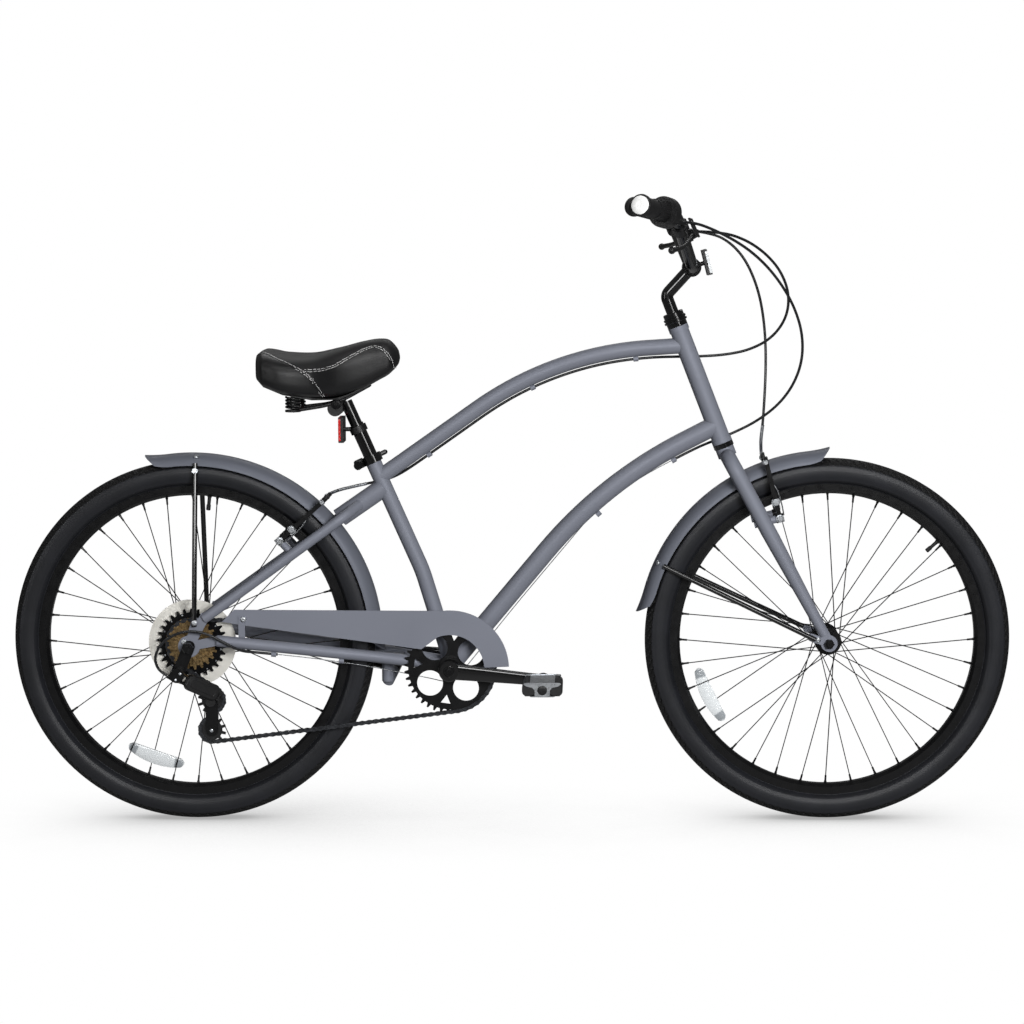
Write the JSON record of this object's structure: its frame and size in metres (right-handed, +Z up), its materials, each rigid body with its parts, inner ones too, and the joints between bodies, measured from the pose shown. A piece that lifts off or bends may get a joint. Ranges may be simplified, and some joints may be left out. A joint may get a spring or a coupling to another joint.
{
  "type": "beach cruiser bicycle",
  "caption": "Beach cruiser bicycle with curved frame tubes, full fenders, swept handlebar, sprung saddle, chain guard and rear derailleur",
  "frame": {"origin": "on the ground, midway between the two axles", "axes": "+X forward, +Y to the rider's left, +Z up"},
  "size_m": [1.822, 0.6448, 1.1354],
  "materials": {
    "frame_paint": "satin charcoal grey paint",
    "black_paint": "black paint, low gloss",
    "tyre": "matt black rubber",
    "grip_rubber": "matt black rubber",
    "black_plastic": "moulded black plastic",
    "bright_steel": "bright zinc plated steel",
    "chain_steel": "oiled steel",
    "sprocket_steel": "browned steel",
    "saddle_cover": "black grained vinyl",
    "clear_reflector": "clear prismatic plastic",
    "red_reflector": "red prismatic plastic",
    "clear_plastic": "milky clear plastic",
    "cable_cover": "black cable housing"
  },
  "bodies": {
    "frame": {"head_tube": "frame_paint", "top_tube": "frame_paint", "down_tube": "frame_paint", "seat_tube": "frame_paint", "chain_stays": "frame_paint", "seat_stays": "frame_paint", "bearing_cups": "black_paint", "rear_axle": "bright_steel", "rear_fender": "frame_paint", "rear_fender_stays": "black_paint", "chain_guard": "frame_paint", "seat_collar": "black_paint", "derailleur_hanger": "black_paint", "rear_brake_cable": "cable_cover", "shift_cable": "cable_cover", "chain": "chain_steel"},
    "steering": {"fork": "frame_paint", "headset_locknut": "black_paint", "stem": "black_paint", "handlebar": "black_paint", "grips": "grip_rubber", "control_clamps": "black_plastic", "front_fender": "frame_paint", "front_fender_stays": "black_paint", "front_reflector": "clear_reflector", "front_axle": "bright_steel", "front_brake_cable": "cable_cover"},
    "rear_wheel": {"rear_tyre": "tyre", "rear_rim": "black_paint", "rear_hub": "black_paint", "spoke_protector": "clear_plastic"},
    "freewheel": {"sprockets": "sprocket_steel"},
    "front_wheel": {"front_tyre": "tyre", "front_rim": "black_paint", "front_hub": "black_paint"},
    "crank": {"chainring": "black_paint", "right_crank": "black_paint", "left_crank": "black_paint", "crank_spindle": "bright_steel"},
    "right_pedal": {"right_pedal": "black_plastic"},
    "left_pedal": {"left_pedal": "black_plastic"},
    "front_brake_arm_right": {"front_brake_arm_right": "black_paint"},
    "front_brake_arm_left": {"front_brake_arm_left": "black_paint"},
    "rear_brake_arm_right": {"rear_brake_arm_right": "black_paint"},
    "rear_brake_arm_left": {"rear_brake_arm_left": "black_paint"},
    "right_brake_lever": {"right_brake_lever": "black_plastic"},
    "left_brake_lever": {"left_brake_lever": "black_plastic"},
    "twist_grip": {"twist_grip": "black_plastic"},
    "derailleur_link": {"derailleur_link": "black_paint"},
    "derailleur_knuckle": {"derailleur_knuckle": "black_plastic"},
    "derailleur_cage": {"derailleur_cage": "black_paint"},
    "guide_pulley": {"guide_pulley": "black_plastic"},
    "tension_pulley": {"tension_pulley": "black_plastic"},
    "kickstand": {"kickstand_leg": "black_paint"},
    "quick_release": {"quick_release_lever": "black_paint"},
    "seat_post": {"seat_post": "black_paint", "rear_reflector": "red_reflector"},
    "saddle": {"saddle_cushion": "saddle_cover", "saddle_frame": "black_paint", "saddle_springs": "black_paint"}
  },
  "joints": [
    {"name": "steering_turn", "type": "hinge", "parent": "frame", "child": "steering", "pos_m": [0.38812, 0, 0.69254], "axis": [-0.3584, 0, 0.9336], "range_deg": [-60, 60], "deforming": ["rear_brake_cable", "shift_cable"]},
    {"name": "rear_wheel_spin", "type": "hinge", "parent": "frame", "child": "rear_wheel", "pos_m": [-0.579, 0, 0.332], "axis": [0, 1, 0], "continuous": true},
    {"name": "front_wheel_spin", "type": "hinge", "parent": "steering", "child": "front_wheel", "pos_m": [0.579, 0, 0.332], "axis": [0, 1, 0], "continuous": true},
    {"name": "crank_turn", "type": "hinge", "parent": "frame", "child": "crank", "pos_m": [-0.10714, 0, 0.287], "axis": [0, 1, 0], "continuous": true, "deforming": ["chain"]},
    {"name": "freewheel_turn", "type": "hinge", "parent": "frame", "child": "freewheel", "pos_m": [-0.579, 0, 0.332], "axis": [0, 1, 0], "continuous": true},
    {"name": "right_pedal_spin", "type": "hinge", "parent": "crank", "child": "right_pedal", "pos_m": [0.06205, -0.139, 0.27041], "axis": [0, 1, 0], "continuous": true},
    {"name": "left_pedal_spin", "type": "hinge", "parent": "crank", "child": "left_pedal", "pos_m": [-0.27633, 0.139, 0.30359], "axis": [0, 1, 0], "continuous": true},
    {"name": "right_lever_pull", "type": "hinge", "parent": "steering", "child": "right_brake_lever", "pos_m": [0.32765, -0.16105, 1.06843], "axis": [-0.81, 0.3535, -0.4679], "range_deg": [0, 18], "stiffness_Nm_per_rad": 1.2, "springref_deg": -20.05},
    {"name": "left_lever_pull", "type": "hinge", "parent": "steering", "child": "left_brake_lever", "pos_m": [0.32765, 0.16105, 1.06843], "axis": [0.81, 0.3535, 0.4679], "range_deg": [0, 18], "stiffness_Nm_per_rad": 1.2, "springref_deg": -20.05, "deforming": ["front_brake_cable"]},
    {"name": "front_arm_right_close", "type": "hinge", "parent": "steering", "child": "front_brake_arm_right", "pos_m": [0.48957, -0.043, 0.55902], "axis": [0.9711, 0, 0.2385], "range_deg": [-2.3, 0]},
    {"name": "front_arm_left_close", "type": "hinge", "parent": "steering", "child": "front_brake_arm_left", "pos_m": [0.48957, 0.043, 0.55902], "axis": [0.9711, 0, 0.2385], "range_deg": [0, 2.3]},
    {"name": "rear_arm_right_close", "type": "hinge", "parent": "frame", "child": "rear_brake_arm_right", "pos_m": [-0.41498, -0.043, 0.52068], "axis": [-0.6691, 0, 0.7431], "range_deg": [0, 2.3]},
    {"name": "rear_arm_left_close", "type": "hinge", "parent": "frame", "child": "rear_brake_arm_left", "pos_m": [-0.41498, 0.043, 0.52068], "axis": [-0.6691, 0, 0.7431], "range_deg": [-2.3, 0]},
    {"name": "shift_twist", "type": "hinge", "parent": "steering", "child": "twist_grip", "pos_m": [0.23462, -0.312, 1.11954], "axis": [-0.4224, -0.8984, 0.1207], "range_deg": [-74, 16]},
    {"name": "derailleur_swing", "type": "hinge", "parent": "frame", "child": "derailleur_link", "pos_m": [-0.581, -0.0875, 0.2699], "axis": [0.5045, 0, 0.8634], "range_deg": [-23.1, 5.1]},
    {"name": "derailleur_level", "type": "hinge", "parent": "derailleur_link", "child": "derailleur_knuckle", "pos_m": [-0.53485, -0.06026, 0.24293], "axis": [0.5045, 0, 0.8634], "range_deg": [-5.1, 23.1]},
    {"name": "cage_swing", "type": "hinge", "parent": "derailleur_knuckle", "child": "derailleur_cage", "pos_m": [-0.54373, -0.045, 0.22773], "axis": [0, 1, 0], "range_deg": [-25, 35], "stiffness_Nm_per_rad": 0.6},
    {"name": "guide_pulley_turn", "type": "hinge", "parent": "derailleur_cage", "child": "guide_pulley", "pos_m": [-0.54373, -0.045, 0.22773], "axis": [0, 1, 0], "continuous": true},
    {"name": "tension_pulley_turn", "type": "hinge", "parent": "derailleur_cage", "child": "tension_pulley", "pos_m": [-0.54418, -0.045, 0.17273], "axis": [0, 1, 0], "continuous": true},
    {"name": "kickstand_swing", "type": "hinge", "parent": "frame", "child": "kickstand", "pos_m": [-0.21514, 0.05, 0.272], "axis": [-0.2277, -0.8785, -0.42], "range_deg": [0, 90.63]},
    {"name": "quick_release_open", "type": "hinge", "parent": "frame", "child": "quick_release", "pos_m": [-0.27291, 0.023, 0.65452], "axis": [-0.4019, 0, 0.9157], "range_deg": [0, 130]},
    {"name": "seat_height", "type": "slide", "parent": "frame", "child": "seat_post", "axis": [-0.4019, 0, 0.9157], "range_m": [-0.015, 0.045]},
    {"name": "saddle_tilt", "type": "hinge", "parent": "seat_post", "child": "saddle", "pos_m": [-0.31315, 0, 0.75863], "axis": [0, 1, 0], "range_deg": [-10, 8]}
  ],
  "couplings": [
    {"joint": "freewheel_turn", "follows": "crank_turn", "ratio": 1.8182},
    {"joint": "guide_pulley_turn", "follows": "crank_turn", "ratio": -3.6364},
    {"joint": "tension_pulley_turn", "follows": "crank_turn", "ratio": 3.6364},
    {"joint": "front_arm_right_close", "follows": "left_lever_pull", "ratio": -0.12222},
    {"joint": "front_arm_left_close", "follows": "left_lever_pull", "ratio": 0.12222},
    {"joint": "rear_arm_right_close", "follows": "right_lever_pull", "ratio": 0.12222},
    {"joint": "rear_arm_left_close", "follows": "right_lever_pull", "ratio": -0.12222},
    {"joint": "derailleur_swing", "follows": "shift_twist", "ratio": 0.3111},
    {"joint": "derailleur_level", "follows": "shift_twist", "ratio": -0.3111}
  ]
}
